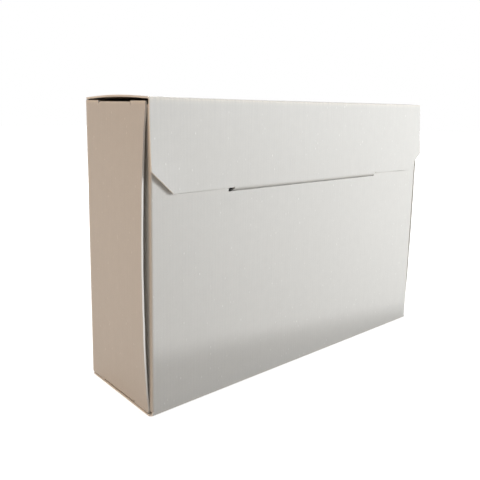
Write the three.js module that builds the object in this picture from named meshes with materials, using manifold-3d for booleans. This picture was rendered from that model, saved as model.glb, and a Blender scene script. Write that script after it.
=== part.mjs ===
// Archive storage box: one die-cut sheet of fine-flute corrugated board, folded into a tray with
// a hinged lid. The lid ends in a closing flap whose tongue tucks into a slot in the front panel.
// Millimetres. X runs along the box, Y to the back, Z up. The origin is under the middle of the
// bottom panel.
import * as THREE from "three";
import { mergeVertices } from "three/addons/utils/BufferGeometryUtils.js";
import Module from "manifold-3d";

const wasm = await Module();
wasm.setup();

// Board
const boardThickness = 1.6;
const clearance = 0.3;
const foldRadius = 0.6;
const foldSteps = 4;

// Box over its outer faces
const boxLength = 390;
const boxDepth = 110;
const boxHeight = 275;

// Lid
const lidArch = 3;
const archSteps = 16;

// End panels, which hinge on the back panel and bow outwards at their free edge
const endFrontGap = 2;
const leftEndBow = 5.5;
const rightEndBow = 3;
const bowPower = 1.5;
const bowMargin = 8;
const endDepthSteps = 10;
const endHeightSteps = 22;

// Tabs at the top and foot of each end panel
const tabWidth = 55;
const tabLength = 25;
const tabStep = 1.5;
const tabRelief = 1;

// Side flaps of the front panel, which stand inside the end panels
const sideFlapDepth = 60;

// Closing flap
const flapHeight = 78.7;
const flapGap = 0.4;
const flapChamferWidth = 22;
const flapChamferHeight = 20;

// Tongue of the closing flap, and the slot that takes it
const tongueWidth = 212.5;
const tongueShift = 2;
const tongueLength = 20;
const tongueChamfer = 10;
const slotEndPlay = 3.5;
const slotShift = -0.7;
const slotHeight = 6.5;
const slotPlay = 0.5;
const flapTurnPerLidTurn = 0.9;

// Sizes that follow from those above
const halfBoard = boardThickness / 2;
const foldOuterRadius = foldRadius + boardThickness;
const foldMiddleRadius = foldRadius + halfBoard;
const lap = 2 * foldOuterRadius;
const mitreBack = clearance / Math.SQRT2;
const endX = boxLength / 2;
const frontX = endX - boardThickness - clearance;
const backY = boxDepth / 2;
const frontY = -boxDepth / 2;
const flapY = frontY - flapGap - boardThickness;
const lidWidth = backY - flapY;
const wallTop = boxHeight - boardThickness - clearance;
const panelBase = boardThickness + clearance;
const endFreeY = frontY + endFrontGap;
const tabY = (backY + endFreeY) / 2;
const tabTop = wallTop - tabStep;
const sideFlapBase = panelBase + boardThickness + clearance;
const sideFlapTop = tabTop - boardThickness - clearance;
const flapFoot = boxHeight - flapHeight;
// At the first turn of the lid, the flap swings about a point above the box, this far from its foot.
const swingRadius = Math.hypot(flapHeight, lidWidth / (1 + flapTurnPerLidTurn));
const swingSlope = Math.atan2(lidWidth, flapHeight * (1 + flapTurnPerLidTurn));
// The tongue lies along the chord of that swing, so that it slides out of its slot.
const tongueDrop = swingSlope - tongueLength / (2 * swingRadius);

const boardMaterial = new THREE.MeshStandardMaterial({ color: 0xcfccc8, roughness: 0.85, metalness: 0 });

// Prisms. Each takes a shape in one plane and runs it along the third axis.
function prism(shape, length, basis, start, steps) {
  const geometry = new THREE.ExtrudeGeometry(shape, { depth: length, steps, bevelEnabled: false });
  geometry.applyMatrix4(new THREE.Matrix4().makeBasis(...basis));
  geometry.translate(start.x, start.y, start.z);
  return geometry;
}

const axisX = new THREE.Vector3(1, 0, 0);
const axisY = new THREE.Vector3(0, 1, 0);
const axisZ = new THREE.Vector3(0, 0, 1);

function prismAlongX(shapeYZ, fromX, toX) {
  return prism(shapeYZ, toX - fromX, [axisY, axisZ, axisX], new THREE.Vector3(fromX, 0, 0), 1);
}

function prismAlongY(shapeXZ, fromY, toY) {
  const basis = [axisX, axisZ, axisY.clone().negate()];
  return prism(shapeXZ, toY - fromY, basis, new THREE.Vector3(0, toY, 0), 1);
}

function prismAlongZ(shapeXY, fromZ, toZ, steps = 1) {
  return prism(shapeXY, toZ - fromZ, [axisX, axisY, axisZ], new THREE.Vector3(0, 0, fromZ), steps);
}

function block(low, high) {
  const size = high.map((value, i) => value - low[i]);
  const middle = high.map((value, i) => (value + low[i]) / 2);
  return new THREE.BoxGeometry(...size).translate(...middle);
}

function shapeOf(points) {
  return new THREE.Shape(points.map(([u, v]) => new THREE.Vector2(u, v)));
}

// Solids
function solid(geometry) {
  const bare = geometry.clone();
  bare.deleteAttribute("normal");
  bare.deleteAttribute("uv");
  const merged = mergeVertices(bare);
  const mesh = new wasm.Mesh({
    numProp: 3,
    vertProperties: new Float32Array(merged.attributes.position.array),
    triVerts: new Uint32Array(merged.index.array),
  });
  return new wasm.Manifold(mesh);
}

function union(solids) {
  return solids.reduce((whole, piece) => whole.add(piece));
}

function meshOf(body, name) {
  const { numProp, vertProperties, triVerts } = body.getMesh();
  const geometry = new THREE.BufferGeometry();
  geometry.setAttribute("position", new THREE.BufferAttribute(vertProperties, numProp));
  geometry.setIndex(new THREE.BufferAttribute(triVerts, 1));
  geometry.computeVertexNormals();
  const mesh = new THREE.Mesh(geometry, boardMaterial);
  mesh.name = name;
  return mesh;
}

// Points along the sheet's middle plane, with each corner turned on the fold's arc.
function foldedMiddle(corners) {
  const points = corners.map(([u, v]) => new THREE.Vector2(u, v));
  const middle = [];
  points.forEach((point, i) => {
    const before = points[i - 1] ? point.clone().sub(points[i - 1]).normalize() : null;
    const after = points[i + 1] ? points[i + 1].clone().sub(point).normalize() : null;
    const turn = before && after ? Math.atan2(before.cross(after), before.dot(after)) : 0;
    if (turn === 0) {
      middle.push({ point, along: (after ?? before).clone() });
      return;
    }
    const setback = foldMiddleRadius * Math.tan(Math.abs(turn) / 2);
    const start = point.clone().addScaledVector(before, -setback);
    const inwards = new THREE.Vector2(-before.y, before.x).multiplyScalar(Math.sign(turn));
    const centre = start.clone().addScaledVector(inwards, foldMiddleRadius);
    for (let step = 0; step <= foldSteps; step += 1) {
      const angle = (turn * step) / foldSteps;
      middle.push({
        point: start.clone().rotateAround(centre, angle),
        along: before.clone().rotateAround(new THREE.Vector2(), angle),
      });
    }
  });
  return middle;
}

// The outline of the folded sheet's section: the middle plane with half the board on each side.
function foldedSheet(corners) {
  const middle = foldedMiddle(corners);
  const side = (sign) => middle.map(({ point, along }) => [
    point.x - along.y * halfBoard * sign,
    point.y + along.x * halfBoard * sign,
  ]);
  return shapeOf([...side(1), ...side(-1).reverse()]);
}

// Body: front, bottom and back panels, which fold from one strip
function trough() {
  const front = [frontY + halfBoard, wallTop];
  const frontFoot = [frontY + halfBoard, halfBoard];
  const backFoot = [backY - halfBoard, halfBoard];
  const back = [backY - halfBoard, boxHeight - mitreBack];
  const strip = solid(prismAlongX(foldedSheet([front, frontFoot, backFoot, back]),
    foldOuterRadius - endX, endX - foldOuterRadius));
  const mitre = solid(prismAlongX(shapeOf([
    [backY + lap, boxHeight - mitreBack + lap],
    [backY - lap, boxHeight - mitreBack + lap],
    [backY - lap, boxHeight - mitreBack - lap],
  ]), -endX, endX));
  return strip.subtract(mitre);
}

function bottomPanel() {
  const edgeY = backY - foldOuterRadius;
  return solid(block([-endX, -edgeY, 0], [endX, edgeY, boardThickness]));
}

// The front panel is narrower than the box, so that its side flaps pass inside the end panels.
function frontEndCut(side) {
  const inner = side * (frontX - foldOuterRadius);
  const outer = side * (endX + lap);
  const low = [Math.min(inner, outer), frontY - lap, -lap];
  const high = [Math.max(inner, outer), frontY + lap, boxHeight + lap];
  return solid(block(low, high));
}

function frontEdgeStrip(low, high) {
  return solid(block([-frontX, frontY, low], [frontX, frontY + boardThickness, high]));
}

function sideFlap(side) {
  const foldX = side * (frontX - halfBoard);
  const section = foldedSheet([
    [foldX - side * lap, frontY + halfBoard],
    [foldX, frontY + halfBoard],
    [foldX, frontY + sideFlapDepth],
  ]);
  return solid(prismAlongZ(section, sideFlapBase, sideFlapTop));
}

// The share of its bow that an end panel has: none at the back fold, the top and the foot.
function bowShareAt(y, z) {
  const depthShare = Math.max(0, (backY - y) / (backY - endFreeY));
  const low = panelBase + bowMargin;
  const high = wallTop - bowMargin;
  const heightShare = THREE.MathUtils.clamp((z - low) / (high - low), 0, 1);
  return depthShare ** bowPower * Math.sin(Math.PI * heightShare);
}

function bowOutwards(geometry, side) {
  const position = geometry.attributes.position;
  const bow = side < 0 ? -leftEndBow : rightEndBow;
  for (let i = 0; i < position.count; i += 1) {
    position.setX(i, position.getX(i) + bow * bowShareAt(position.getY(i), position.getZ(i)));
  }
  return geometry;
}

function endTab(side, foldZ, inwards) {
  const foldX = side * (endX - halfBoard);
  const section = foldedSheet([
    [foldX, foldZ - inwards * (lap + tabStep)],
    [foldX, foldZ],
    [side * (endX - tabLength), foldZ],
  ]);
  return solid(prismAlongY(section, tabY - tabWidth / 2, tabY + tabWidth / 2));
}

function tabNotch(side, low, high) {
  const inner = side * (endX - lap);
  const outer = side * (endX + lap);
  const halfWidth = tabWidth / 2 + tabRelief;
  return solid(block([Math.min(inner, outer), tabY - halfWidth, low],
    [Math.max(inner, outer), tabY + halfWidth, high]));
}

function endPanel(side) {
  const foldX = side * (endX - halfBoard);
  const foldY = backY - halfBoard;
  const corners = [[foldX - side * lap, foldY], [foldX, foldY]];
  for (let step = 1; step <= endDepthSteps; step += 1) {
    corners.push([foldX, foldY + ((endFreeY - foldY) * step) / endDepthSteps]);
  }
  const flat = prismAlongZ(foldedSheet(corners), panelBase, wallTop, endHeightSteps);
  return solid(bowOutwards(flat, side))
    .subtract(tabNotch(side, tabTop - foldOuterRadius, wallTop + lap))
    .subtract(tabNotch(side, -lap, panelBase + foldOuterRadius))
    .add(endTab(side, tabTop - halfBoard, 1))
    .add(endTab(side, panelBase + halfBoard, -1));
}

// Where the tongue's lower face passes the inner face of the front panel
function tongueRoot() {
  const bendY = flapY + halfBoard;
  const setback = foldMiddleRadius * Math.tan((Math.PI / 2 - tongueDrop) / 2);
  return { bendY, bendZ: flapFoot - setback };
}

function slotFoot() {
  const { bendY, bendZ } = tongueRoot();
  const innerY = frontY + boardThickness;
  const middleZ = bendZ - (innerY - bendY) * Math.tan(tongueDrop);
  return middleZ - halfBoard / Math.cos(tongueDrop) - slotPlay;
}

function slot() {
  const halfLength = tongueWidth / 2 + slotEndPlay;
  const foot = slotFoot();
  return solid(block([slotShift - halfLength, frontY - lap, foot],
    [slotShift + halfLength, frontY + lap, foot + slotHeight]));
}

function boxBody() {
  const strip = union([trough().subtract(frontEndCut(-1)).subtract(frontEndCut(1)), bottomPanel()]);
  const front = [frontEdgeStrip(foldOuterRadius, sideFlapBase), frontEdgeStrip(sideFlapTop, wallTop)];
  const sides = [-1, 1].flatMap((side) => [sideFlap(side), endPanel(side)]);
  return union([strip, ...front, ...sides]).subtract(slot());
}

// Lid: an arched panel, mitred at both folds
function archAt(y) {
  return lidArch * Math.sin((Math.PI * (backY - y)) / lidWidth);
}

function archedEdge(fromY, toY, z) {
  const points = [];
  for (let step = 0; step <= archSteps; step += 1) {
    const y = fromY + ((toY - fromY) * step) / archSteps;
    points.push([y, z + archAt(y)]);
  }
  return points;
}

function lidPanel() {
  const front = flapY + mitreBack;
  const back = backY - mitreBack;
  const section = shapeOf([
    ...archedEdge(front, back, boxHeight),
    ...archedEdge(back - boardThickness, front + boardThickness, boxHeight - boardThickness),
  ]);
  return solid(prismAlongX(section, -endX, endX));
}

// Closing flap: a chamfered panel with a tongue bent along the path on which it slides out
function flapPanel() {
  const top = boxHeight - mitreBack;
  const section = shapeOf([
    [flapY, flapFoot],
    [flapY + boardThickness, flapFoot],
    [flapY + boardThickness, top - boardThickness],
    [flapY, top],
  ]);
  const innerX = endX - flapChamferWidth;
  const chamferTop = flapFoot + flapChamferHeight;
  const outline = shapeOf([
    [-endX, boxHeight], [-endX, chamferTop], [-innerX, flapFoot],
    [innerX, flapFoot], [endX, chamferTop], [endX, boxHeight],
  ]);
  return solid(prismAlongX(section, -endX, endX))
    .intersect(solid(prismAlongY(outline, flapY - lap, flapY + lap)));
}

function tongue() {
  const { bendY, bendZ } = tongueRoot();
  const tipY = bendY + tongueLength * Math.cos(tongueDrop);
  const tipZ = bendZ - tongueLength * Math.sin(tongueDrop);
  const section = foldedSheet([[bendY, flapFoot + lap], [bendY, bendZ], [tipY, tipZ]]);
  const left = tongueShift - tongueWidth / 2;
  const right = tongueShift + tongueWidth / 2;
  const plan = shapeOf([
    [left, bendY - lap], [left, tipY - tongueChamfer], [left + tongueChamfer, tipY + lap],
    [right - tongueChamfer, tipY + lap], [right, tipY - tongueChamfer], [right, bendY - lap],
  ]);
  return solid(prismAlongX(section, left, right))
    .intersect(solid(prismAlongZ(plan, tipZ - lap, flapFoot + lap + lap)));
}

const box = new THREE.Group();
box.add(meshOf(boxBody(), "box_body"));
box.add(meshOf(lidPanel(), "lid_panel"));
box.add(meshOf(flapPanel().add(tongue()), "closing_flap"));

export default box;
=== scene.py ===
"""Archive storage box: one die-cut sheet of fine-flute board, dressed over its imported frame.

Shapes are modelled in millimetres on the sheet's outer face, given the board's thickness, and then
brought to metres. X runs along the box, Y to the back, Z up.
"""

import logging
import math
from collections.abc import Callable, Iterable
from dataclasses import dataclass, field
from enum import Enum

import bmesh
import bpy
import numpy as np
from bpy.types import Material, Node, NodeTree, Object, Scene
from mathutils import Matrix, Vector, noise


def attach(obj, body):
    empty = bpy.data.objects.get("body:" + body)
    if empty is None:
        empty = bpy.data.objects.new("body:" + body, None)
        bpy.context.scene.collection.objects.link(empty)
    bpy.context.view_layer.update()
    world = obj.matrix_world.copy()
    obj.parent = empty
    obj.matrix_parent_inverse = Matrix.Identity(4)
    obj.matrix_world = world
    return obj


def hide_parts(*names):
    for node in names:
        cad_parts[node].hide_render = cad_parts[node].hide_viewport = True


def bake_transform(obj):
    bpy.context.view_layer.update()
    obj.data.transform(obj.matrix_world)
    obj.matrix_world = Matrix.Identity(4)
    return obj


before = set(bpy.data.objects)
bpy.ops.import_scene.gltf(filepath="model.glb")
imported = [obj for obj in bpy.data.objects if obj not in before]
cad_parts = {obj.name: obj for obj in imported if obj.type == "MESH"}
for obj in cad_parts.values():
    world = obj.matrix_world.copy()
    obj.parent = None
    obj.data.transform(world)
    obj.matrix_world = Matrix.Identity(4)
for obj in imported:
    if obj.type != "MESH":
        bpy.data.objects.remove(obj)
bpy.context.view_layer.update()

log = logging.getLogger("archive_box")

# Metres in a millimetre
MM = 0.001
# In mm: what counts as the same place, what a cut and the last weld join, and how far the fold's wear and
# painted highlight spread
NEAR = 0.01
CUT_WELD = 0.001
WELD = 0.002
CREASE_WIDTH = 1.6
SMOOTH_ANGLE = math.radians(35)

Place = tuple[float, ...]
Line = tuple[Place, Place]
Where = Callable[[Vector], bool]
Socket = bpy.types.NodeSocket


class Part(Enum):
    """What an edit-mode selection takes."""

    POINTS = "VERT"
    EDGES = "EDGE"
    FACES = "FACE"


class Axis(Enum):
    """The axis that a cutting plane stands across."""

    X = 0
    Y = 1
    Z = 2


class Side(Enum):
    """An end of the box, seen from the front."""

    LEFT = -1
    RIGHT = 1


@dataclass(frozen=True)
class Board:
    """E-flute corrugated board, in millimetres."""

    thickness: float = 1.6  # With both its liners
    inner_radius: float = 0.1  # Inside a fold
    fold_steps: int = 6
    crease_margin: float = 0.2  # The flat strip at each side of a fold that moves

    @property
    def outer_radius(self) -> float:
        """The radius outside a fold, in mm."""
        return self.inner_radius + self.thickness

    @property
    def crease_reach(self) -> float:
        """How far a fold that moves takes up each of its two panels, in mm."""
        return self.outer_radius + self.crease_margin


def ramp(value: float, start: float, end: float) -> float:
    """How far a value has come from a start to an end, from 0 to 1."""
    return min(1.0, max(0.0, (value - start) / (end - start)))


@dataclass(frozen=True)
class BoxSizes:
    """The sizes of the folded box in millimetres.

    They follow the frame's source. Some lie up to 2.4 mm off it, where the photograph shows the
    real board a little out of true.
    """

    end_x: float = 195.0
    cover_right: float = 193.8  # The right end of the lid and the flap
    front_x: float = 193.1
    bottom_out: float = 1.2  # How far the bottom sticks out past the front's folds
    back_y: float = 55.0
    front_y: float = -55.0
    flap_y: float = -57.0
    left_free_y: float = -50.6  # The end panels' free edges
    right_free_y: float = -53.4
    height: float = 275.0
    wall_top: float = 272.6
    panel_base: float = 2.4  # The foot of the end panels
    side_flap_base: float = 3.8
    side_flap_top: float = 269.7
    side_flap_depth: float = 60.0
    tab_y: float = 1.0  # The middle of a tab
    tab_width: float = 55.0
    tab_length: float = 25.0
    tab_top: float = 271.9
    tab_relief: float = 1.0  # The cut at each side of a tab
    left_end_bow: float = 4.9
    right_end_bow: float = 3.2
    bow_rise: float = 0.6  # Under 1, so the bow is flat in the middle and steep near the top and foot
    bow_power: float = 1.5  # Over 1, so it grows towards the free edge
    bow_margin: float = 8.0
    ripple: float = 0.35
    ripple_length: float = 85.0
    ripple_height: float = 70.0
    flat_top: float = 6.0  # The margins without ripples, and how far the ripples take to grow
    flat_foot: float = 8.0
    flat_side: float = 4.0
    ripple_rise: float = 30.0
    ripple_side_rise: float = 25.0
    lid_arch: float = 1.3
    lid_end_arch: float = 0.7
    lid_end_lift: float = 0.9
    lid_end_reach: float = 160.0  # How far the left end's extra arch and lift reach
    flap_foot: float = 196.3
    chamfer_width: float = 22.0
    chamfer_height: float = 20.0
    tongue_left: float = -104.25
    tongue_right: float = 108.25
    tongue_drop: float = math.radians(31.0)  # Its slope down into the box
    tongue_reach: float = 20.45
    tongue_chamfer: float = 10.0
    slot_left: float = -110.45
    slot_right: float = 109.05
    slot_foot: float = 192.65
    slot_head: float = 198.89
    cut: float = 2.6  # A notch that frees the board beside a fold
    slit: float = 0.4

    def top_fold(self, y: float) -> Line:
        """The line of the lid's or the flap's top fold, at a depth in mm."""
        return (-self.end_x, y, self.height), (self.cover_right, y, self.height)

    @property
    def flap_start(self) -> float:
        """Where the closing flap starts on the flat sheet, along the flutes, in mm."""
        return self.height + 2 * self.back_y - self.flap_y

    def arch_at(self, x: float, y: float) -> float:
        """How far the lid rises between its folds, in mm, most at its left end."""
        end = max(0.0, 1 - (x + self.end_x) / self.lid_end_reach) ** 2
        out = (self.back_y - y) / (self.back_y - self.flap_y)
        most = self.lid_arch + self.lid_end_arch * end
        return most * math.sin(math.pi * out) + self.lid_end_lift * end * out

    def free_y(self, side: Side) -> float:
        """Where an end panel's free edge lies, in mm."""
        return self.left_free_y if side is Side.LEFT else self.right_free_y

    def bow_at(self, side: Side, y: float, z: float) -> float:
        """How far an end panel bows outwards.

        Args:
            side: Which end.
            y: Depth in mm.
            z: Height in mm.

        Returns:
            The distance in mm, none at the back fold, the top and the foot.
        """
        depth = max(0.0, (self.back_y - y) / (self.back_y - self.free_y(side)))
        low = self.panel_base + self.bow_margin
        high = self.wall_top - self.bow_margin
        rise = math.sin(math.pi * ramp(z, low, high)) ** self.bow_rise
        most = self.left_end_bow if side is Side.LEFT else self.right_end_bow
        return most * depth**self.bow_power * rise

    def ripple_at(self, x: float, z: float, seed: float = 3.7) -> float:
        """How far an upright panel lies off its plane.

        Args:
            x: Place along the box in mm.
            z: Height in mm.
            seed: The same for panels that lie on each other, another for the rest.

        Returns:
            The distance in mm, none near the folds.
        """
        top, side = self.side_flap_top - self.flat_top, self.front_x - self.flat_side
        share = ramp(z, top, top - self.ripple_rise)
        share *= ramp(z, self.flat_foot, self.flat_foot + self.ripple_rise)
        share *= ramp(abs(x), side, side - self.ripple_side_rise)
        wave = noise.noise(Vector((x / self.ripple_length, seed, z / self.ripple_height)))
        return self.ripple * share * wave


def deselect_all() -> None:
    """Leaves nothing selected, not even the frame's nodes."""
    bpy.ops.object.select_all(action="DESELECT")


def near(a: float, b: float) -> bool:
    """Whether two distances in mm are the same."""
    return abs(a - b) < NEAR


@dataclass
class FoldedSheet:
    """A sheet of board that is shaped on its outer face in edit mode, in millimetres."""

    name: str
    board: Board
    obj: Object = field(init=False)

    def lay(self, low: Place, high: Place) -> None:
        """Adds the first panel and stays in edit mode.

        Args:
            low: Its lowest corner in mm.
            high: Its highest corner in mm. It stands upright where both have the same Y.
        """
        size, middle = Vector(high) - Vector(low), (Vector(high) + Vector(low)) / 2
        upright = near(size.y, 0)
        deselect_all()
        bpy.ops.mesh.primitive_plane_add(size=1.0, rotation=(math.pi / 2 if upright else 0.0, 0, 0))
        self.obj = bpy.context.object
        self.obj.name = self.obj.data.name = self.name
        bpy.ops.object.transform_apply(location=True, rotation=True, scale=True)
        bpy.ops.object.mode_set(mode="EDIT")
        bpy.ops.mesh.select_all(action="SELECT")
        bpy.ops.transform.resize(value=[side or 1.0 for side in size], center_override=(0, 0, 0))
        bpy.ops.transform.translate(value=middle)

    def pick(self, part: Part, where: Where) -> None:
        """Selects the points, the edges by both ends, or the faces by their centre, that lie where asked."""
        bpy.ops.mesh.select_mode(type=part.value)
        bpy.ops.mesh.select_all(action="DESELECT")
        mesh = bmesh.from_edit_mesh(self.obj.data)
        if part is Part.POINTS:
            chosen = [vert for vert in mesh.verts if where(vert.co)]
        elif part is Part.EDGES:
            chosen = [edge for edge in mesh.edges if all(where(vert.co) for vert in edge.verts)]
        else:
            chosen = [face for face in mesh.faces if where(face.calc_center_median())]
        for item in chosen:
            item.select_set(True)
        bmesh.update_edit_mesh(self.obj.data)

    def cut(self, axis: Axis, at: float, where: Where | None = None) -> None:
        """Cuts the panels across an axis.

        Args:
            axis: The axis that the plane stands across.
            at: The plane's place in mm.
            where: Which faces to cut, or None for all.
        """
        if where is None:
            bpy.ops.mesh.select_all(action="SELECT")
        else:
            self.pick(Part.FACES, where)
        place, normal = [0.0, 0.0, 0.0], [0.0, 0.0, 0.0]
        place[axis.value], normal[axis.value] = at, 1.0
        bpy.ops.mesh.bisect(plane_co=place, plane_no=normal, threshold=CUT_WELD)

    def trim(self, place: Place, normal: Place) -> None:
        """Cuts off all that lies beyond a plane, on the side of its normal."""
        bpy.ops.mesh.select_all(action="SELECT")
        bpy.ops.mesh.bisect(plane_co=place, plane_no=normal, threshold=CUT_WELD, clear_outer=True)

    def grow(self, where: Where, by: tuple[float, float, float]) -> None:
        """Extrudes edges into a new panel."""
        self.pick(Part.EDGES, where)
        bpy.ops.mesh.extrude_edges_move(TRANSFORM_OT_translate={"value": by})

    def shift(self, part: Part, where: Where, by: tuple[float, float, float]) -> None:
        """Moves points, edges or faces."""
        self.pick(part, where)
        bpy.ops.transform.translate(value=by)

    def fold(self, where: Where, turn: float = math.pi / 2) -> None:
        """Rounds a fold line.

        Args:
            where: The line's place.
            turn: How far the board turns there, in radians.
        """
        self.pick(Part.EDGES, where)
        bpy.ops.mesh.bevel(
            offset=self.board.outer_radius * math.tan(turn / 2),
            segments=self.board.fold_steps,
            profile=0.5,
            affect="EDGES",
            clamp_overlap=False,
        )

    def drop(self, where: Where) -> None:
        """Cuts faces away."""
        self.pick(Part.FACES, where)
        bpy.ops.mesh.delete(type="FACE")

    def grid(self, axis: Axis, low: float, high: float, pitch: float) -> None:
        """Cuts all the panels at even steps between two places, in mm."""
        count = max(1, round((high - low) / pitch))
        for step in range(count + 1):
            self.cut(axis, low + (high - low) * step / count)

    def turn_out(self, outwards: Vector, where: Where) -> None:
        """Turns all the faces the same way, outwards where asked, and leaves edit mode."""
        bpy.ops.mesh.select_mode(type="FACE")
        bpy.ops.mesh.select_all(action="SELECT")
        bpy.ops.mesh.remove_doubles(threshold=WELD)
        bpy.ops.mesh.select_all(action="SELECT")
        bpy.ops.mesh.normals_make_consistent(inside=False)
        mesh = bmesh.from_edit_mesh(self.obj.data)
        mesh.normal_update()
        seen = sum(face.normal.dot(outwards) for face in mesh.faces if where(face.calc_center_median()))
        if seen < 0:
            bpy.ops.mesh.flip_normals()
        bpy.ops.object.mode_set(mode="OBJECT")

    def lay_flat(self, develop: Callable[[Vector, Vector, Vector], tuple[float, float]]) -> None:
        """Unfolds the sheet into its UV map, in metres.

        Args:
            develop: Takes a face's centre, its normal and a corner, and returns the corner's place
                across and along the flutes, in mm.
        """
        mesh = self.obj.data
        while mesh.uv_layers:
            mesh.uv_layers.remove(mesh.uv_layers[0])
        flat = mesh.uv_layers.new(name="sheet")
        for face in mesh.polygons:
            centre, normal = face.center.copy(), face.normal.copy()
            for loop in face.loop_indices:
                corner = mesh.vertices[mesh.loops[loop].vertex_index].co
                across, along = develop(centre, normal, corner)
                flat.data[loop].uv = (across * MM, along * MM)

    def mark_creases(self, lines: Iterable[Line]) -> None:
        """Writes how near each point lies to a fold line, from 0 to 1."""
        points = np.array([vert.co for vert in self.obj.data.vertices])
        least = np.full(len(points), np.inf)
        for start, end in lines:
            start, end = np.array(start, float), np.array(end, float)
            run = end - start
            share = np.clip(((points - start) @ run) / (run @ run), 0, 1)
            least = np.minimum(least, np.linalg.norm(points - start - share[:, None] * run, axis=1))
        attribute = self.obj.data.attributes.new("crease", "FLOAT", "POINT")
        attribute.data.foreach_set("value", np.exp(-((least / CREASE_WIDTH) ** 2)).astype(np.float32))

    def move(self, by: Callable[[Vector], Vector]) -> None:
        """Moves each point by what a function gives for it, in mm."""
        for vert in self.obj.data.vertices:
            vert.co += by(vert.co)

    def thicken(self, finishes: Iterable[Material]) -> Object:
        """Gives the sheet its thickness and its finishes, and brings it to metres.

        Args:
            finishes: The outer liner, the inner liner and the raw edge.

        Returns:
            The finished piece.
        """
        for finish in finishes:
            self.obj.data.materials.append(finish)
        outer = len(self.obj.data.vertices)
        deselect_all()
        self.obj.select_set(True)
        bpy.context.view_layer.objects.active = self.obj
        wall = self.obj.modifiers.new("board", "SOLIDIFY")
        wall.thickness = self.board.thickness
        wall.offset = -1.0
        wall.use_even_offset = True
        wall.use_rim = True
        wall.material_offset = 1
        wall.material_offset_rim = 2
        bpy.ops.object.modifier_apply(modifier=wall.name)
        across = np.zeros(len(self.obj.data.vertices), np.float32)
        across[outer : 2 * outer] = 1.0
        self.obj.data.attributes.new("across", "FLOAT", "POINT").data.foreach_set("value", across)
        self.obj.scale = (MM, MM, MM)
        bpy.ops.object.transform_apply(location=True, rotation=True, scale=True)
        bpy.ops.object.shade_smooth_by_angle(angle=SMOOTH_ANGLE)
        return self.obj


def linear(code: str) -> tuple[float, float, float, float]:
    """An sRGB hex colour as the linear colour that a socket takes."""
    parts = [int(code[i : i + 2], 16) / 255 for i in (1, 3, 5)]
    return (*[p / 12.92 if p <= 0.04045 else ((p + 0.055) / 1.055) ** 2.4 for p in parts], 1.0)


def add_node(tree: NodeTree, kind: str, inputs: dict[str | int, object], **settings: object) -> Node:
    """Adds a node with its settings, and its inputs' values or links.

    Args:
        tree: The tree that the node goes into.
        kind: The shader node's type.
        inputs: A value or another node's output for each input.
        **settings: The node's own settings.

    Returns:
        The node.
    """
    node = tree.nodes.new("ShaderNode" + kind)
    for name, value in settings.items():
        setattr(node, name, value)
    for key, value in inputs.items():
        if isinstance(value, Socket):
            tree.links.new(value, node.inputs[key])
        else:
            node.inputs[key].default_value = value
    return node


def new_material(name: str) -> tuple[Material, NodeTree]:
    """An empty node material and its tree."""
    material = bpy.data.materials.new(name)
    material.use_nodes = True
    material.node_tree.nodes.clear()
    return material, material.node_tree


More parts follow.
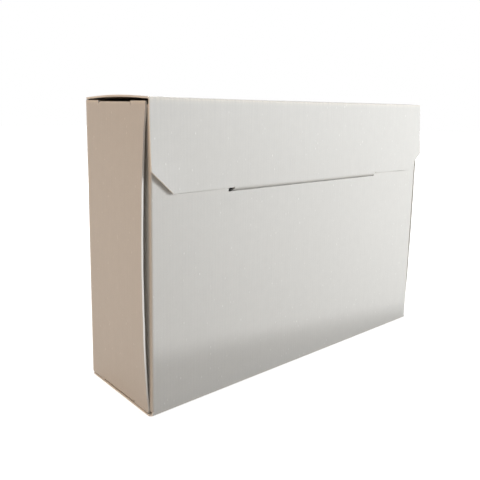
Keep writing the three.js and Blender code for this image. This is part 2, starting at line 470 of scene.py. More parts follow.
@dataclass(frozen=True)
class Liner:
    """Paper liner of corrugated board, pressed and glued over its flutes.

    The eye gets a matte, faintly satin paper: the flutes read through it as soft upright stripes, with
    cloudy pulp, short fibres, a few pale flecks, and paler paper along the folds, partly real wear and
    partly a painted highlight of the light on the rounded fold. Sizes are in mm.
    """

    name: str
    colour: str
    worn_and_highlight: str  # The paler paper along a fold, partly wear and partly painted highlight
    fleck: str
    flecks: float  # How strongly the flecks show
    roughness: float
    pitch: float = 3.3  # Of the flutes
    relief: float = 0.008  # How far the flutes show through
    fibre: float = 0.9  # Real fibres are 0.03 mm wide; they are drawn coarse to show
    cloud: float = 9.0  # In the pulp
    streak: tuple[float, float] = (1.4, 70.0)  # Width, and length along the flutes
    fleck_cell: tuple[float, float] = (3.4, 9.0)  # The area round a fleck
    fleck_rim: tuple[float, float] = (0.05, 0.16)  # Where a fleck fades, as a share of its cell
    fleck_free: float = 0.45  # The share of the cells without a fleck

    def make(self) -> Material:
        """Builds the node material."""
        material, tree = new_material(self.name)
        flat = add_node(tree, "UVMap", {}, uv_map="sheet").outputs["UV"]
        flutes = add_node(
            tree, "TexWave",
            {"Vector": flat, "Scale": math.tau / (20 * self.pitch * MM), "Distortion": 0.5,
             "Detail": 1.0, "Detail Scale": 0.25},
            wave_type="BANDS", bands_direction="X", wave_profile="SIN",
        ).outputs["Fac"]
        streak_space = add_node(
            tree, "Mapping", {"Vector": flat, "Scale": self.per_metre(self.streak)}
        ).outputs["Vector"]
        streaks = add_node(
            tree, "TexNoise", {"Vector": streak_space, "Scale": 1.0, "Detail": 2.0}
        ).outputs["Fac"]
        clouds = add_node(
            tree, "TexNoise", {"Vector": flat, "Scale": 1 / (self.cloud * MM), "Detail": 3.0}
        ).outputs["Fac"]
        fibres = add_node(
            tree, "TexNoise",
            {"Vector": flat, "Scale": 1 / (self.fibre * MM), "Detail": 2.0, "Distortion": 1.2},
        ).outputs["Fac"]
        tone = add_node(
            tree, "MapRange", {"Value": flutes, "To Min": 0.994, "To Max": 1.005}
        ).outputs["Result"]
        for value, spread in ((streaks, 0.022), (clouds, 0.025), (fibres, 0.04)):
            share = add_node(
                tree, "MapRange",
                {"Value": value, "From Min": 0.3, "From Max": 0.7,
                 "To Min": 1 - spread / 2, "To Max": 1 + spread / 2},
            ).outputs["Result"]
            tone = add_node(tree, "Math", {0: tone, 1: share}, operation="MULTIPLY").outputs[0]
        paper = add_node(
            tree, "VectorMath", {0: linear(self.colour)[:3], "Scale": tone}, operation="SCALE"
        ).outputs["Vector"]
        # Paler paper near the folds: partly real wear, partly a painted highlight where light catches the
        # rounded fold
        crease = add_node(tree, "Attribute", {}, attribute_name="crease").outputs["Fac"]
        patchy = add_node(
            tree, "MapRange",
            {"Value": streaks, "From Min": 0.35, "From Max": 0.65, "To Min": 0.4, "To Max": 0.75},
        ).outputs["Result"]
        wear_and_highlight_share = add_node(tree, "Math", {0: crease, 1: patchy}, operation="MULTIPLY").outputs[0]
        paper = add_node(
            tree, "Mix", {0: wear_and_highlight_share, 6: paper, 7: linear(self.worn_and_highlight)}, data_type="RGBA"
        ).outputs[2]
        fleck_space = add_node(
            tree, "Mapping", {"Vector": flat, "Scale": self.per_metre(self.fleck_cell)}
        ).outputs["Vector"]
        cells = add_node(tree, "TexVoronoi", {"Vector": fleck_space, "Scale": 1.0, "Randomness": 1.0})
        dots = add_node(
            tree, "MapRange",
            {"Value": cells.outputs["Distance"], "From Min": self.fleck_rim[0],
             "From Max": self.fleck_rim[1], "To Min": 1.0, "To Max": 0.0},
        ).outputs["Result"]
        chosen = add_node(tree, "SeparateColor", {"Color": cells.outputs["Color"]}).outputs["Red"]
        some = add_node(
            tree, "MapRange", {"Value": chosen, "From Min": self.fleck_free, "To Max": self.flecks}
        ).outputs["Result"]
        spots = add_node(tree, "Math", {0: dots, 1: some}, operation="MULTIPLY").outputs[0]
        paper = add_node(
            tree, "Mix", {0: spots, 6: paper, 7: linear(self.fleck)}, data_type="RGBA"
        ).outputs[2]
        height = add_node(tree, "Math", {0: fibres, 1: 0.35, 2: flutes}, operation="MULTIPLY_ADD").outputs[0]
        bump = add_node(
            tree, "Bump", {"Height": height, "Strength": 1.0, "Distance": self.relief * MM}
        ).outputs["Normal"]
        shader = add_node(
            tree, "BsdfPrincipled",
            {"Base Color": paper, "Roughness": self.roughness, "IOR": 1.5, "Normal": bump},
        )
        add_node(tree, "OutputMaterial", {"Surface": shader.outputs["BSDF"]})
        return material

    def per_metre(self, size: tuple[float, float]) -> tuple[float, float, float]:
        """The mapping scale for a pattern with cells of a size given in mm."""
        return 1 / (size[0] * MM), 1 / (size[1] * MM), 1.0


@dataclass(frozen=True)
class RawEdge:
    """The die-cut edge of corrugated board.

    The eye gets two pale liners with the wavy fluting between them, and small shadows painted into its
    hollows.
    """

    liner: str = "#fdfdfb"
    hollow_shade: str = "#f2ede4"  # Painted shade in the hollows of the fluting
    liner_share: float = 0.2  # Of the thickness
    shade: float = 0.6  # How strongly the painted shade in the hollows shows
    pitch: float = 3.3  # Of the flutes, in mm
    fuzz: float = 0.8  # The torn fibres' tufts, in mm, coarser than real ones so that they show

    def make(self) -> Material:
        """Builds the node material."""
        material, tree = new_material("raw_corrugated_edge")
        flat = add_node(tree, "UVMap", {}, uv_map="sheet").outputs["UV"]
        across = add_node(tree, "Attribute", {}, attribute_name="across").outputs["Fac"]
        run = add_node(tree, "SeparateXYZ", {"Vector": flat}).outputs["X"]
        phase = add_node(
            tree, "Math", {0: run, 1: math.tau / (self.pitch * MM)}, operation="MULTIPLY"
        ).outputs[0]
        wave = add_node(tree, "Math", {0: phase}, operation="SINE").outputs[0]
        line = add_node(
            tree, "MapRange",
            {"Value": wave, "From Min": -1.0, "To Min": self.liner_share, "To Max": 1 - self.liner_share},
        ).outputs["Result"]
        off = add_node(tree, "Math", {0: across, 1: line}, operation="SUBTRACT").outputs[0]
        off = add_node(tree, "Math", {0: off}, operation="ABSOLUTE").outputs[0]
        fluting = add_node(
            tree, "MapRange", {"Value": off, "From Min": 0.1, "From Max": 0.2}
        ).outputs["Result"]
        # Painted shade: the gaps beside the fluting, between the liners, are drawn darker
        middle = add_node(tree, "Math", {0: across, 1: 0.5}, operation="SUBTRACT").outputs[0]
        middle = add_node(tree, "Math", {0: middle}, operation="ABSOLUTE").outputs[0]
        inside = add_node(
            tree, "MapRange",
            {"Value": middle, "From Min": 0.5 - self.liner_share, "From Max": 0.5 - self.liner_share / 2,
             "To Min": self.shade, "To Max": 0.0},
        ).outputs["Result"]
        hollow_shade = add_node(tree, "Math", {0: fluting, 1: inside}, operation="MULTIPLY").outputs[0]
        fuzz = add_node(
            tree, "TexNoise", {"Vector": flat, "Scale": 1 / (self.fuzz * MM), "Detail": 2.0}
        ).outputs["Fac"]
        uneven = add_node(
            tree, "MapRange",
            {"Value": fuzz, "From Min": 0.3, "From Max": 0.7, "To Min": 0.7, "To Max": 1.0},
        ).outputs["Result"]
        hollow_shade = add_node(tree, "Math", {0: hollow_shade, 1: uneven}, operation="MULTIPLY").outputs[0]
        colour = add_node(
            tree, "Mix", {0: hollow_shade, 6: linear(self.liner), 7: linear(self.hollow_shade)}, data_type="RGBA"
        ).outputs[2]
        bump = add_node(
            tree, "Bump", {"Height": fuzz, "Strength": 0.6, "Distance": 0.03 * MM}
        ).outputs["Normal"]
        shader = add_node(
            tree, "BsdfPrincipled", {"Base Color": colour, "Roughness": 0.9, "IOR": 1.45, "Normal": bump}
        )
        add_node(tree, "OutputMaterial", {"Surface": shader.outputs["BSDF"]})
        return material


@dataclass
class BoardFinishes:
    """The three finishes of one board: its outer liner, its inner liner and its raw edge."""

    # The paler fold colour of each liner is partly wear and partly a painted highlight
    outer: Liner = Liner(
        name="grey_white_paper_liner", colour="#d6d4d0", worn_and_highlight="#f7f0e4", fleck="#f7f6f3",
        flecks=0.9, roughness=0.55,
    )
    inner: Liner = Liner(
        name="cream_paper_inner_liner", colour="#dcd7ce", worn_and_highlight="#e8e1d6", fleck="#efece6",
        flecks=0.2, roughness=0.7,
    )
    edge: RawEdge = RawEdge()

    def make(self) -> list[Material]:
        """Builds the three materials in the order that a sheet takes them."""
        return [self.outer.make(), self.inner.make(), self.edge.make()]


@dataclass
class SheetPart:
    """What every piece of the sheet is built from."""

    board: Board
    sizes: BoxSizes
    pitch: float = 9.0  # The step of the grid of cuts, in mm

    def cut_across(self, sheet: FoldedSheet) -> None:
        """Cuts the sheet at even steps along the box's length."""
        most = self.sizes.end_x - self.pitch
        sheet.grid(Axis.X, -most, most, self.pitch)


@dataclass
class BodySheet(SheetPart):
    """The front, bottom and back panels, the side flaps, and the end panels with their tabs."""

    end_notch: float = 0.5  # How far above its foot an end panel leaves the back panel
    back_notch: float = 0.4  # How far the back fold ends before the end panels' folds
    fold_margin: float = 5.0  # The strip of an end panel that is as high as the back panel
    first_y: float = 8.0  # How far behind the front and above the foot the grid starts
    first_z: float = 12.0
    back_seed: float = 9.2
    dent: float = 0.45  # How far a free edge is dented at most
    dent_seed: float = 5.0
    dent_height: float = 24.0
    dent_y: float = 10.0  # Where the dents start, and how far they take to grow
    dent_reach: float = 63.0
    dent_top: float = 8.0  # The margins without dents, and how far the dents take to grow there
    dent_foot: float = 10.0
    dent_rise: float = 20.0

    def build(self, finishes: list[Material]) -> Object:
        """Models the folded sheet and gives it its thickness and finishes."""
        sheet = FoldedSheet("body_sheet", self.board)
        self.fold_trough(sheet)
        self.fold_side_flaps(sheet)
        sheet.cut(Axis.Z, self.end_base, lambda at: near(at.y, self.sizes.back_y))
        for side in Side:
            self.fold_end(sheet, side)
        self.cut_slot(sheet)
        self.cut_grid(sheet)
        sheet.turn_out(Vector((0, 0, -1)), lambda at: near(at.z, 0))
        sheet.lay_flat(self.unfold)
        sheet.mark_creases(self.fold_lines())
        sheet.move(self.bend)
        piece = sheet.thicken(finishes)
        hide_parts("box_body")
        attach(piece, "box")
        return piece

    @property
    def back_x(self) -> float:
        """Half the back fold's length, inside the end panels' folds."""
        return self.sizes.end_x - self.board.outer_radius - self.back_notch

    @property
    def end_base(self) -> float:
        """Where an end panel leaves the back panel, above the bottom fold."""
        return self.sizes.panel_base + self.end_notch

    @property
    def back_top(self) -> float:
        """Where the back panel ends under the lid's crease."""
        return self.sizes.height - self.board.crease_reach

    def on_front(self, at: Vector) -> bool:
        """Whether a point lies on the front panel's outer face."""
        return near(at.y, self.sizes.front_y)

    def fold_trough(self, sheet: FoldedSheet) -> None:
        """Front, bottom and back panels, with the corners notched for the end panels."""
        s = self.sizes
        sheet.lay((-s.end_x, s.front_y, 0), (s.end_x, s.back_y, 0))
        for x in (-s.front_x, s.front_x):
            sheet.cut(Axis.X, x)
        for y in (s.front_y + s.cut, s.back_y - s.cut):
            sheet.cut(Axis.Y, y)
        for x in (-self.back_x, self.back_x):
            sheet.cut(Axis.X, x, lambda at: at.y > s.back_y - s.cut)
        sheet.drop(lambda at: abs(at.x) > s.front_x and abs(at.y) > s.back_y - s.cut)
        sheet.drop(lambda at: abs(at.x) > self.back_x and at.y > s.back_y - s.cut)
        for side in (-1, 1):
            sheet.shift(
                Part.EDGES,
                lambda at, x=side * s.front_x: near(at.x, x) and abs(at.y) < s.back_y - s.cut + NEAR,
                (side * s.bottom_out, 0, 0),
            )
        sheet.grow(lambda at: near(at.y, s.front_y), (0, 0, s.wall_top))
        sheet.grow(lambda at: near(at.y, s.back_y), (0, 0, self.back_top))
        sheet.fold(lambda at: near(at.z, 0) and near(abs(at.y), s.back_y))

    def fold_side_flaps(self, sheet: FoldedSheet) -> None:
        """The two flaps of the front panel, folded back behind the end panels."""
        s = self.sizes
        low, high = s.side_flap_base, s.side_flap_top
        for z in (low - s.slit, low, high, high + s.slit):
            sheet.cut(Axis.Z, z, self.on_front)
        for x in (s.cut - s.front_x, s.front_x - s.cut):
            sheet.cut(Axis.X, x, self.on_front)
        sheet.drop(
            lambda at: self.on_front(at)
            and abs(at.x) > s.front_x - s.cut
            and (low - s.slit < at.z < low or high < at.z < high + s.slit)
        )

        def on_fold(at: Vector) -> bool:
            return near(abs(at.x), s.front_x) and self.on_front(at) and low - NEAR < at.z < high + NEAR

        sheet.grow(on_fold, (0, s.side_flap_depth, 0))
        sheet.fold(on_fold)

    def fold_end(self, sheet: FoldedSheet, side: Side) -> None:
        """An end panel on the back panel's side, with its two tabs."""
        s, sign = self.sizes, side.value
        base = self.end_base
        flat_y = s.back_y - self.fold_margin

        def on_end(at: Vector) -> bool:
            return near(at.x, sign * s.end_x)

        sheet.grow(
            lambda at: near(at.x, sign * self.back_x) and near(at.y, s.back_y) and at.z > base - NEAR,
            (sign * (s.end_x - self.back_x), 0, 0),
        )
        sheet.grow(
            lambda at: on_end(at) and near(at.y, s.back_y) and at.z > base - NEAR,
            (0, s.free_y(side) - s.back_y, 0),
        )
        sheet.cut(Axis.Y, flat_y, lambda at: on_end(at) and at.z > base)
        sheet.shift(
            Part.EDGES, lambda at: on_end(at) and near(at.z, base) and at.y < flat_y + NEAR,
            (0, 0, -self.end_notch),
        )
        sheet.shift(
            Part.EDGES, lambda at: on_end(at) and near(at.z, self.back_top) and at.y < flat_y + NEAR,
            (0, 0, s.wall_top - self.back_top),
        )
        sheet.fold(lambda at: on_end(at) and near(at.y, s.back_y) and at.z > base - NEAR)
        self.fold_tabs(sheet, sign, on_end)

    def fold_tabs(self, sheet: FoldedSheet, sign: int, on_end: Where) -> None:
        """The tabs at an end panel's top and foot, each between two small relief cuts."""
        s = self.sizes
        half = s.tab_width / 2

        def on_panel(at: Vector) -> bool:
            return on_end(at) and at.z > s.panel_base - NEAR

        for y in (-half - s.tab_relief, -half, half, half + s.tab_relief):
            sheet.cut(Axis.Y, s.tab_y + y, on_panel)
        for z in (s.tab_top, s.tab_top - s.cut, s.panel_base + s.cut):
            sheet.cut(Axis.Z, z, on_panel)

        def off(at: Vector) -> float:
            return abs(at.y - s.tab_y)

        sheet.drop(lambda at: on_panel(at) and off(at) < half + s.tab_relief and at.z > s.tab_top)
        sheet.drop(
            lambda at: on_panel(at) and half < off(at) < half + s.tab_relief
            and (at.z > s.tab_top - s.cut or at.z < s.panel_base + s.cut)
        )
        for z in (s.tab_top, s.panel_base):

            def on_line(at: Vector, z: float = z) -> bool:
                return on_end(at) and near(at.z, z) and off(at) < half + NEAR

            sheet.grow(on_line, (-sign * s.tab_length, 0, 0))
            sheet.fold(on_line)

    def cut_slot(self, sheet: FoldedSheet) -> None:
        """The slot in the front panel that takes the tongue."""
        s = self.sizes
        for z in (s.slot_foot, s.slot_head):
            sheet.cut(Axis.Z, z, self.on_front)
        for x in (s.slot_left, s.slot_right):
            sheet.cut(Axis.X, x, self.on_front)
        sheet.drop(
            lambda at: self.on_front(at)
            and s.slot_left < at.x < s.slot_right
            and s.slot_foot < at.z < s.slot_head
        )

    def cut_grid(self, sheet: FoldedSheet) -> None:
        """Even cuts over all the panels, so that they can bow."""
        s = self.sizes
        most = s.front_x - self.pitch
        sheet.grid(Axis.X, -most, most, self.pitch)
        sheet.grid(Axis.Y, s.front_y + self.first_y, s.back_y - self.pitch, self.pitch)
        sheet.grid(Axis.Z, self.first_z, s.tab_top - self.pitch, self.pitch)

    def unfold(self, centre: Vector, normal: Vector, corner: Vector) -> tuple[float, float]:
        """A corner's place on the flat sheet, across and along the flutes."""
        s = self.sizes
        side = 1 if centre.x > 0 else -1
        x, y, z = corner
        level = near(abs(normal.z), 1)
        on_tab = level and centre.z > s.panel_base - NEAR
        if near(normal.x, 0) and not on_tab:
            return x, (y - z if y < 0 else y + z)
        inside = abs(centre.x) < s.front_x + NEAR and centre.y < s.front_y + s.side_flap_depth
        if inside and not level:
            return side * (abs(x) + y - s.front_y), y - z
        if y < s.back_y - self.fold_margin - NEAR:
            inwards = s.end_x - abs(x)
            along = s.back_y + z + math.copysign(inwards, z - s.height / 2)
            return side * (s.end_x + s.back_y - y), along
        return side * (abs(x) + s.back_y - y), s.back_y + z

    def fold_lines(self) -> list[Line]:
        """The fold lines of the sheet, each from point to point."""
        s = self.sizes
        lines = [((-s.front_x, y, 0), (s.front_x, y, 0)) for y in (s.front_y, s.back_y)]
        lines.append(((-s.end_x, s.back_y, s.height), (s.end_x, s.back_y, s.height)))
        half = s.tab_width / 2
        for side in Side:
            x = side.value * s.end_x
            lines.append(((x, s.back_y, 0), (x, s.back_y, s.wall_top)))
            lines.append(((x, s.free_y(side), s.wall_top), (x, s.back_y, s.wall_top)))
            for z in (s.panel_base, s.tab_top):
                lines.append(((x, s.tab_y - half, z), (x, s.tab_y + half, z)))
        return lines

    def bend(self, at: Vector) -> Vector:
        """How the folded board lies off its flat planes: bowed ends, and soft ripples elsewhere."""
        s = self.sizes
        if abs(at.x) > s.front_x + NEAR:
            side = Side.LEFT if at.x < 0 else Side.RIGHT
            edge = max(0.0, (self.dent_y - at.y) / self.dent_reach) ** 2
            seed = Vector((side.value * self.dent_seed, 0, at.z / self.dent_height))
            top, foot = s.tab_top - self.dent_top, self.dent_foot
            dent = self.dent * edge * noise.noise(seed)
            dent *= ramp(at.z, top, top - self.dent_rise) * ramp(at.z, foot, foot + self.dent_rise)
            return Vector((side.value * (s.bow_at(side, at.y, at.z) + dent), 0, 0))
        if near(at.y, s.front_y):
            return Vector((0, s.ripple_at(at.x, at.z), 0))
        if near(at.y, s.back_y):
            return Vector((0, s.ripple_at(at.x, at.z, self.back_seed), 0))
        return Vector()


@dataclass
class LidSheet(SheetPart):
    """The lid panel, which arches a little between its two folds."""

    margin: float = 4.0  # How far from the creases the grid starts

    def build(self, finishes: list[Material]) -> Object:
        """Models the lid between its creases."""
        s = self.sizes
        front, back = s.flap_y + self.board.crease_reach, s.back_y - self.board.crease_reach
        sheet = FoldedSheet("lid_sheet", self.board)
        sheet.lay((-s.end_x, front, s.height), (s.cover_right, back, s.height))
        self.cut_across(sheet)
        sheet.grid(Axis.Y, front + self.margin, back - self.margin, self.pitch / 2)
        sheet.turn_out(Vector((0, 0, 1)), lambda at: True)
        sheet.lay_flat(lambda centre, normal, at: (at.x, s.height + 2 * s.back_y - at.y))
        sheet.mark_creases([s.top_fold(y) for y in (s.flap_y, s.back_y)])
        sheet.move(lambda at: Vector((0, 0, s.arch_at(at.x, at.y))))
        piece = sheet.thicken(finishes)
        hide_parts("lid_panel")
        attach(piece, "lid")
        return piece


@dataclass
class ClosingFlap(SheetPart):
    """The flap on the front, with chamfered corners and the tongue that tucks into the slot."""

    margin: float = 3.0  # How far under the crease the grid starts
    relief_width: float = 0.8  # The cut at each side of the tongue
    relief_height: float = 1.2
    left_lift: float = 2.3  # How far the lower corners stand off the front
    right_lift: float = 4.4
    lift_x: float = 145.0  # Where they start to lift, and how far they take to
    lift_reach: float = 50.0
    lift_power: float = 1.5  # Over 1, so the lift grows downwards
    edge_lift: float = 0.8  # The same for the lower edge beside the tongue
    edge_x: float = 110.0
    edge_reach: float = 15.0
    edge_height: float = 30.0  # How far up it fades

    def build(self, finishes: list[Material]) -> Object:
        """Models the flap and its bent tongue."""
        s = self.sizes
        turn = math.pi / 2 - s.tongue_drop
        fold_z = s.flap_foot - self.board.outer_radius * math.tan(turn / 2)
        top = s.height - self.board.crease_reach
        sheet = FoldedSheet("flap_sheet", self.board)
        sheet.lay((-s.end_x, s.flap_y, s.flap_foot), (s.cover_right, s.flap_y, top))
        slope = Vector((s.chamfer_height, 0, s.chamfer_width)).normalized()
        for side, end in ((-1, -s.end_x), (1, s.cover_right)):
            corner = (end, s.flap_y, s.flap_foot + s.chamfer_height)
            sheet.trim(corner, (side * slope.x, 0, -slope.z))
        reliefs = (s.tongue_left - self.relief_width, s.tongue_left, s.tongue_right,
                   s.tongue_right + self.relief_width)
        relief_z = s.flap_foot + self.relief_height
        for x in reliefs:
            sheet.cut(Axis.X, x)
        sheet.cut(Axis.Z, relief_z)
        sheet.drop(
            lambda at: at.z < relief_z
            and (reliefs[0] < at.x < reliefs[1] or reliefs[2] < at.x < reliefs[3])
        )

        def between(at: Vector) -> bool:
            return s.tongue_left - NEAR < at.x < s.tongue_right + NEAR

        sheet.grow(lambda at: between(at) and near(at.z, s.flap_foot), (0, 0, fold_z - s.flap_foot))
        first = s.tongue_reach - s.tongue_chamfer
        along = Vector((0, math.cos(s.tongue_drop), -math.sin(s.tongue_drop)))
        root = Vector((0, s.flap_y, fold_z))
        sheet.grow(lambda at: between(at) and near(at.z, fold_z), tuple(along * first))
        middle = root + along * first
        sheet.grow(lambda at: near(at.y, middle.y) and near(at.z, middle.z), tuple(along * s.tongue_chamfer))
        tip = root + along * s.tongue_reach
        self.narrow_tip(sheet, tip)
        sheet.fold(lambda at: between(at) and near(at.z, fold_z) and near(at.y, s.flap_y), turn)
        self.cut_across(sheet)
        sheet.grid(Axis.Z, s.flap_foot + s.chamfer_height, top - self.margin, self.pitch)
        sheet.turn_out(Vector((0, -1, 0)), lambda at: at.z > s.flap_foot + s.chamfer_height)
        sheet.lay_flat(lambda centre, normal, at: (at.x, s.flap_start + s.height - at.z))
        sheet.mark_creases([s.top_fold(s.flap_y)])
        sheet.move(self.bend)
        piece = sheet.thicken(finishes)
        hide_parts("closing_flap")
        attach(piece, "flap")
        return piece

    def bend(self, at: Vector) -> Vector:
        """How the flap lies off its plane: the front's ripples, and free corners that lift a little."""
        s = self.sizes
        if at.y > s.flap_y + NEAR:
            return Vector()
        out = ramp(abs(at.x), self.lift_x, self.lift_x + self.lift_reach) ** 2
        down = max(0.0, (s.height - at.z) / (s.height - s.flap_foot - s.chamfer_height))
        lift = (self.left_lift if at.x < 0 else self.right_lift) * out * down**self.lift_power
        beside = ramp(abs(at.x), self.edge_x, self.edge_x + self.edge_reach)
        lift += self.edge_lift * beside * ramp(at.z, s.flap_foot + self.edge_height, s.flap_foot)
        return Vector((0, s.ripple_at(at.x, at.z) - lift, 0))

    def narrow_tip(self, sheet: FoldedSheet, tip: Vector) -> None:
        """Chamfers the tongue's tip by pulling its two corners inwards."""
        s = self.sizes
        for x, sign in ((s.tongue_left, 1), (s.tongue_right, -1)):
            sheet.shift(
                Part.POINTS,
                lambda at, x=x: near(at.x, x) and near(at.y, tip.y) and near(at.z, tip.z),
                (sign * s.tongue_chamfer, 0, 0),
            )


class Crease(Enum):
    """The two folds that move."""

    LID = "lid_crease"
    FLAP = "flap_crease"


@dataclass
class CreaseStrip(SheetPart):
    """The rounded board of a fold that moves, shaped to meet the panels on either side of it."""

    pitch: float = 13.0
    crease: Crease = Crease.LID
    narrowing: float = 0.0134  # How much narrower the lid's crease is at the back, as a share

    def build(self, finishes: list[Material]) -> Object:
        """Models the strip round its fold line and blends it between its bodies."""
        s = self.sizes
        lid = self.crease is Crease.LID
        fold_y = s.back_y if lid else s.flap_y
        inward = -1 if lid else 1
        reach = self.board.crease_reach
        edges = sorted((fold_y, fold_y + inward * reach))
        sheet = FoldedSheet(self.crease.value, self.board)
        sheet.lay((-s.end_x, edges[0], s.height), (s.cover_right, edges[1], s.height))
        sheet.grow(lambda at: near(at.y, fold_y), (0, 0, -reach))
        sheet.fold(lambda at: near(at.y, fold_y) and near(at.z, s.height))
        self.cut_across(sheet)
        sheet.turn_out(Vector((0, -inward, 1)), lambda at: True)

        def unfold(centre: Vector, normal: Vector, at: Vector) -> tuple[float, float]:
            if lid:
                return at.x, s.height + s.back_y - (s.height - at.z) + abs(at.y - fold_y)
            return at.x, s.flap_start + (s.height - at.z) - abs(at.y - fold_y)

        sheet.lay_flat(unfold)
        sheet.mark_creases([s.top_fold(fold_y)])

        def settle(at: Vector) -> Vector:
            share = ramp(abs(at.y - fold_y) - (s.height - at.z), -reach, reach)
            narrow = -self.narrowing * (1 - share) if lid else 0.0
            return Vector((at.x * narrow, 0, s.arch_at(at.x, at.y) * share))

        sheet.move(settle)
        piece = sheet.thicken(finishes)
        if lid:
            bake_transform(piece)
        else:
            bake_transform(piece)
        return piece


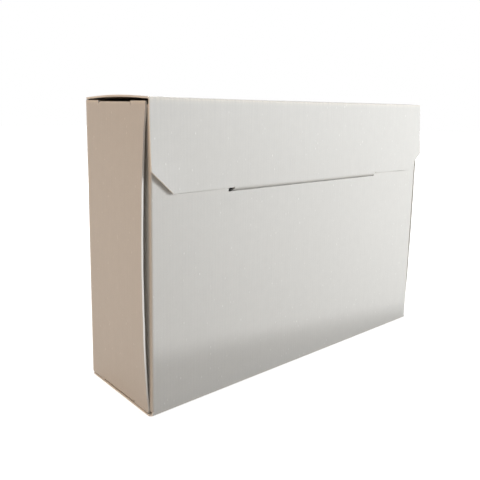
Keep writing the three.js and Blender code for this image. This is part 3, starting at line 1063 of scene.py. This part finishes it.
@dataclass(frozen=True)
class Studio:
    """A plain white room with four soft lamps, and the camera where the photograph was taken.

    The camera is given in mm and degrees, floor and net in metres.
    """

    focal: float = 42.52
    sensor: float = 36.0
    place: tuple[float, float, float] = (-438.4, -448.1, 269.6)
    yaw: float = 41.02  # From the Y axis to the X axis
    pitch: float = 9.64  # Downwards
    roll: float = 1.057
    shift: float = -37.5 / 480  # The picture's, as a share of its width
    floor_size: float = 12.0
    scrim_turn: float = 6.2  # How far the net leans in its own plane, in degrees
    scrim_size: tuple[float, float] = (1.3, 0.4)
    scrim_place: tuple[float, float, float] = (0.0, -0.115, -0.135)  # Its middle
    scrim_shade: float = 0.41  # The share of the light that the net holds back
    room_light: float = 0.2  # How brightly the room itself shines

    def build(self) -> None:
        """Adds the camera, floor, lamps and world."""
        scene = bpy.context.scene
        scene.view_settings.view_transform = "Standard"
        self.add_camera(scene)
        self.add_floor()
        self.add_world(scene)
        self.add_scrim()
        self.add_lamp("window", (0.68, -1.0, 0.48), (0.05, -0.05, 0.12), (0.5, 0.3), 11.4, "#fafdff")
        self.add_lamp("room", (-1.62, 0.12, 0.5), (-0.19, 0, 0.14), (0.8, 0.8), 6.9, "#ffd1a1")
        self.add_lamp("ceiling", (-0.1, 0.2, 2.4), (0, 0, 0.2), (1.6, 1.6), 19.0, "#ffffff")
        self.add_lamp("back", (0.6, 1.8, 0.9), (0, 0.05, 0.14), (0.9, 0.9), 14.0, "#ffffff")

    def add_camera(self, scene: Scene) -> None:
        """The camera, turned by yaw, pitch and roll."""
        yaw, pitch, roll = (math.radians(a) for a in (self.yaw, self.pitch, self.roll))
        level_share = math.cos(pitch)
        ahead = Vector((math.sin(yaw) * level_share, math.cos(yaw) * level_share, -math.sin(pitch)))
        level = Vector((math.cos(yaw), -math.sin(yaw), 0))
        upright = level.cross(ahead)
        right = math.cos(roll) * level + math.sin(roll) * upright
        up = -math.sin(roll) * level + math.cos(roll) * upright
        data = bpy.data.cameras.new("camera")
        data.lens, data.sensor_width, data.shift_y = self.focal, self.sensor, self.shift
        camera = bpy.data.objects.new("camera", data)
        scene.collection.objects.link(camera)
        turn = Matrix((right, up, -ahead)).transposed().to_4x4()
        camera.matrix_world = Matrix.Translation(Vector(self.place) * MM) @ turn
        scene.camera = camera

    def add_floor(self) -> None:
        """A sweep of white paper.

        The eye gets a bright, even white that still takes the box's shadow. To the box itself it is a
        light grey, so it sends less light back up than it seems to.
        """
        deselect_all()
        bpy.ops.mesh.primitive_plane_add(size=self.floor_size, location=(0, 0, -0.1 * MM))
        floor = bpy.context.object
        floor.name = "floor"
        material, tree = new_material("white_paper_sweep")
        seen = self.seen_directly(tree)
        colour = add_node(
            tree, "Mix", {0: seen, 6: linear("#bcbab6"), 7: linear("#fafafa")}, data_type="RGBA"
        ).outputs[2]
        matt = add_node(tree, "BsdfDiffuse", {"Color": colour})
        flat = add_node(tree, "TexCoord", {}).outputs["Object"]
        away = add_node(tree, "VectorMath", {0: flat}, operation="LENGTH").outputs["Value"]
        strength = add_node(
            tree, "MapRange",
            {"Value": away, "From Min": 0.4, "From Max": 1.6, "To Min": 0.62, "To Max": 1.0},
        ).outputs["Result"]
        glow = add_node(tree, "Emission", {"Color": (1, 1, 1, 1), "Strength": strength})
        both = add_node(tree, "AddShader", {0: matt.outputs["BSDF"], 1: glow.outputs["Emission"]})
        mix = add_node(tree, "MixShader", {0: seen, 1: matt.outputs["BSDF"], 2: both.outputs["Shader"]})
        add_node(tree, "OutputMaterial", {"Surface": mix.outputs["Shader"]})
        floor.data.materials.append(material)

    def seen_directly(self, tree: NodeTree) -> Socket:
        """Gives 1 to the camera and to mirrored rays, and 0 to all other light."""
        path = add_node(tree, "LightPath", {})
        return add_node(
            tree, "Math",
            {0: path.outputs["Is Camera Ray"], 1: path.outputs["Is Glossy Ray"]}, operation="MAXIMUM",
        ).outputs[0]

    def add_scrim(self) -> None:
        """A thin black net between the window lamp and the box's foot.

        The eye never gets the net itself, only the soft shade that it lays on the foot.
        """
        deselect_all()
        lean = math.radians(self.scrim_turn)
        bpy.ops.mesh.primitive_plane_add(size=1.0, rotation=(math.pi / 2, lean, 0))
        scrim = bpy.context.object
        scrim.name = "scrim"
        scrim.scale = (*self.scrim_size, 1.0)
        scrim.location = self.scrim_place
        material, tree = new_material("black_scrim_net")
        clear = add_node(tree, "BsdfTransparent", {"Color": (1, 1, 1, 1)})
        thread = add_node(tree, "BsdfDiffuse", {"Color": (0, 0, 0, 1)})
        net = add_node(
            tree, "MixShader", {0: self.scrim_shade, 1: clear.outputs["BSDF"], 2: thread.outputs["BSDF"]}
        )
        add_node(tree, "OutputMaterial", {"Surface": net.outputs["Shader"]})
        scrim.data.materials.append(material)
        scrim.visible_camera = scrim.visible_glossy = scrim.visible_diffuse = False

    def add_world(self, scene: Scene) -> None:
        """A dim neutral room that the camera sees as white."""
        world = bpy.data.worlds.new("room")
        world.use_nodes = True
        tree = world.node_tree
        tree.nodes.clear()
        seen = self.seen_directly(tree)
        strength = add_node(
            tree, "MapRange", {"Value": seen, "To Min": self.room_light, "To Max": 1.0}
        ).outputs["Result"]
        back = add_node(tree, "Background", {"Color": (1, 1, 1, 1), "Strength": strength})
        add_node(tree, "OutputWorld", {"Surface": back.outputs["Background"]})
        scene.world = world

    def add_lamp(
        self, name: str, place: Place, target: Place,
        size: tuple[float, float], power: float, colour: str,
    ) -> None:
        """An area lamp that looks at a point.

        Args:
            name: The lamp's name.
            place: Its place in metres.
            target: The point that it looks at, in metres.
            size: Its width and height in metres.
            power: Its power in watts.
            colour: Its colour.
        """
        data = bpy.data.lights.new(name, "AREA")
        data.shape, data.size, data.size_y = "RECTANGLE", *size
        data.energy, data.color = power, linear(colour)[:3]
        lamp = bpy.data.objects.new(name, data)
        bpy.context.scene.collection.objects.link(lamp)
        lamp.location = place
        lamp.rotation_mode = "QUATERNION"
        lamp.rotation_quaternion = (Vector(target) - Vector(place)).to_track_quat("-Z", "Y")


def main() -> None:
    """Builds the box and its studio, and reports each piece."""
    logging.basicConfig(level=logging.INFO)
    board, sizes = Board(), BoxSizes()
    Studio().build()
    finishes = BoardFinishes().make()
    makers = [
        BodySheet(board, sizes),
        LidSheet(board, sizes),
        ClosingFlap(board, sizes),
        CreaseStrip(board, sizes, crease=Crease.LID),
        CreaseStrip(board, sizes, crease=Crease.FLAP),
    ]
    for maker in makers:
        piece = maker.build(finishes)
        log.info("%s: %d faces", piece.name, len(piece.data.polygons))


if __name__ == "__main__":
    main()
